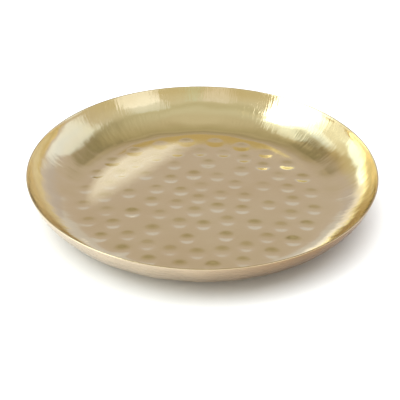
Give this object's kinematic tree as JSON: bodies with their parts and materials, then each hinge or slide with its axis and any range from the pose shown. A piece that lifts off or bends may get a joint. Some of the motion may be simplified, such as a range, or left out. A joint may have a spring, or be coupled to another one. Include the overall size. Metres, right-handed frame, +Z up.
{
  "type": "round serving tray",
  "caption": "Shallow round tray of satin brass sheet with an upturned wall and a floor covered in rings of round hammer marks.",
  "frame": {"origin": "centre of the tray on the surface it stands on", "axes": "+Z up out of the open side; +X and +Y lie in the table's plane and pass through opposite points of the round lip"},
  "size_m": [0.3, 0.3, 0.0351],
  "materials": {
    "brass": "spun and hammered; polished inside, satin and duller outside, a little browned by handling",
    "bumper_rubber": "matte black"
  },
  "bodies": {
    "root": {"tray_body": "brass", "bumper_foot_1": "bumper_rubber", "bumper_foot_2": "bumper_rubber", "bumper_foot_3": "bumper_rubber", "bumper_foot_4": "bumper_rubber"}
  },
  "joints": []
}
